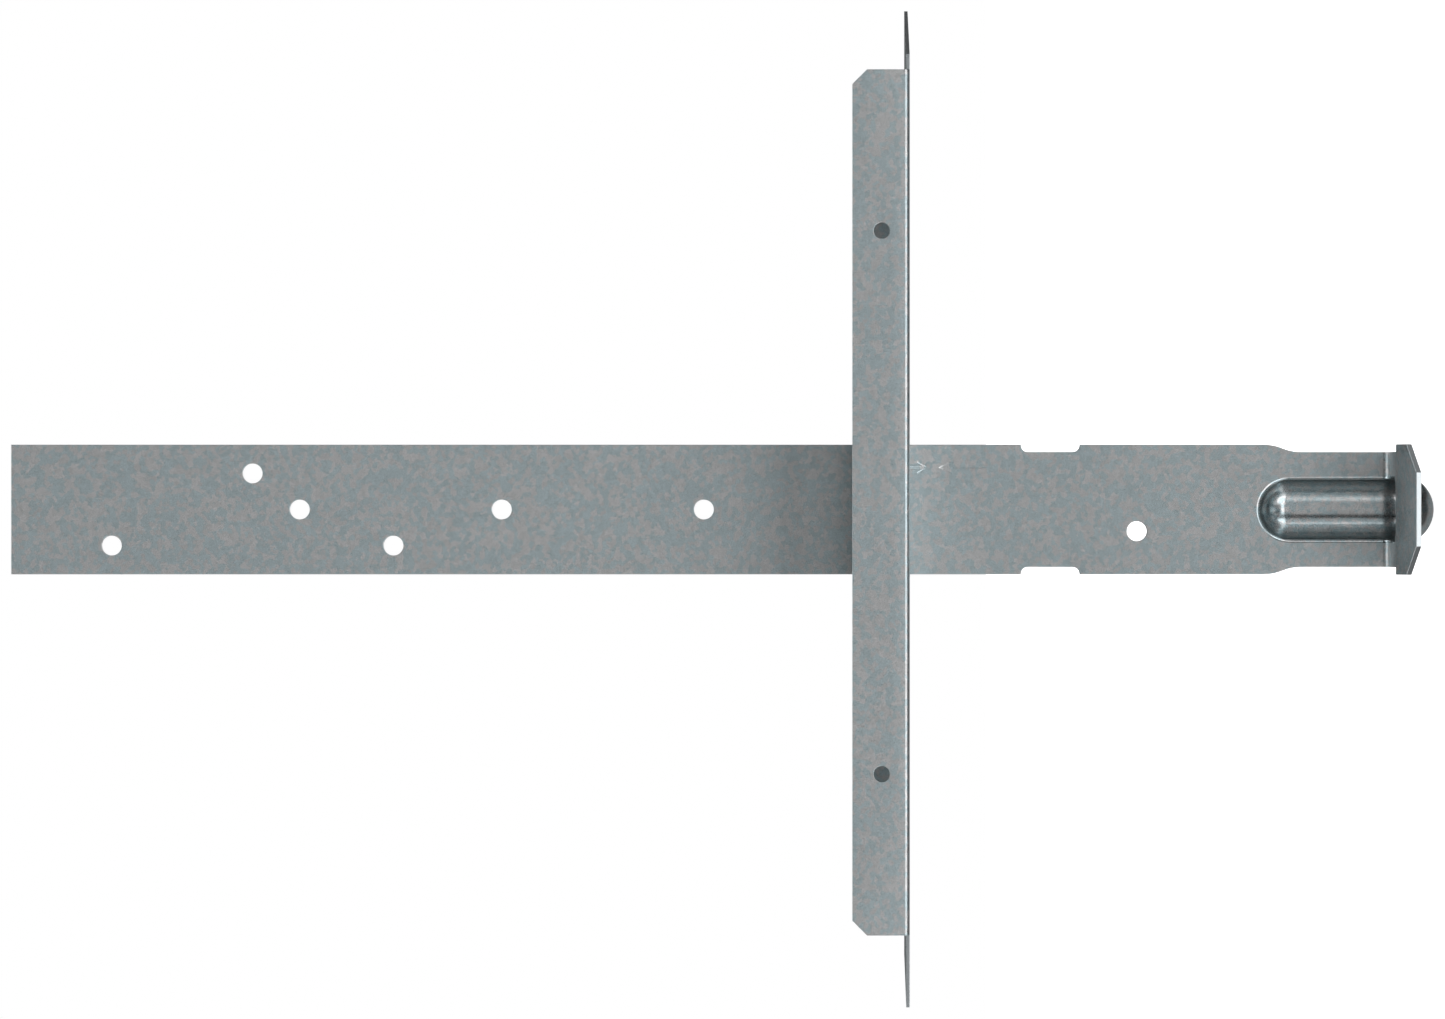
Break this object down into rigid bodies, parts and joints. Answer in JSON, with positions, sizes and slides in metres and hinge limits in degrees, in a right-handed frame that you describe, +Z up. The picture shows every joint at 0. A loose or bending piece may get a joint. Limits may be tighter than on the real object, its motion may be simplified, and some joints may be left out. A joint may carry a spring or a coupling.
{
  "type": "embedded truss anchor",
  "caption": "Galvanised strap anchor with a bent, ribbed foot to cast into a wall top, and a skewed channel seat that slides on the strap to carry a roof truss.",
  "frame": {"origin": "on the strap's front face, on its centre line, at the embedment line", "axes": "+Z up along the strap to its free top end, -Y out of the strap's front face towards the foot and the truss, +X across the strap"},
  "size_m": [0.2181, 0.0481, 0.3122],
  "materials": {
    "strap_steel": "hot-dip galvanised, fine soft spangle, dull sheen",
    "seat_steel": "hot-dip galvanised, fine soft spangle, dull sheen"
  },
  "bodies": {
    "strap": {"anchor_strap": "strap_steel"},
    "seat": {"truss_seat": "seat_steel"}
  },
  "joints": [
    {"name": "seat_slide", "type": "slide", "parent": "strap", "child": "seat", "axis": [0, 0, 1], "range_m": [-0.0755, 0.195]}
  ]
}
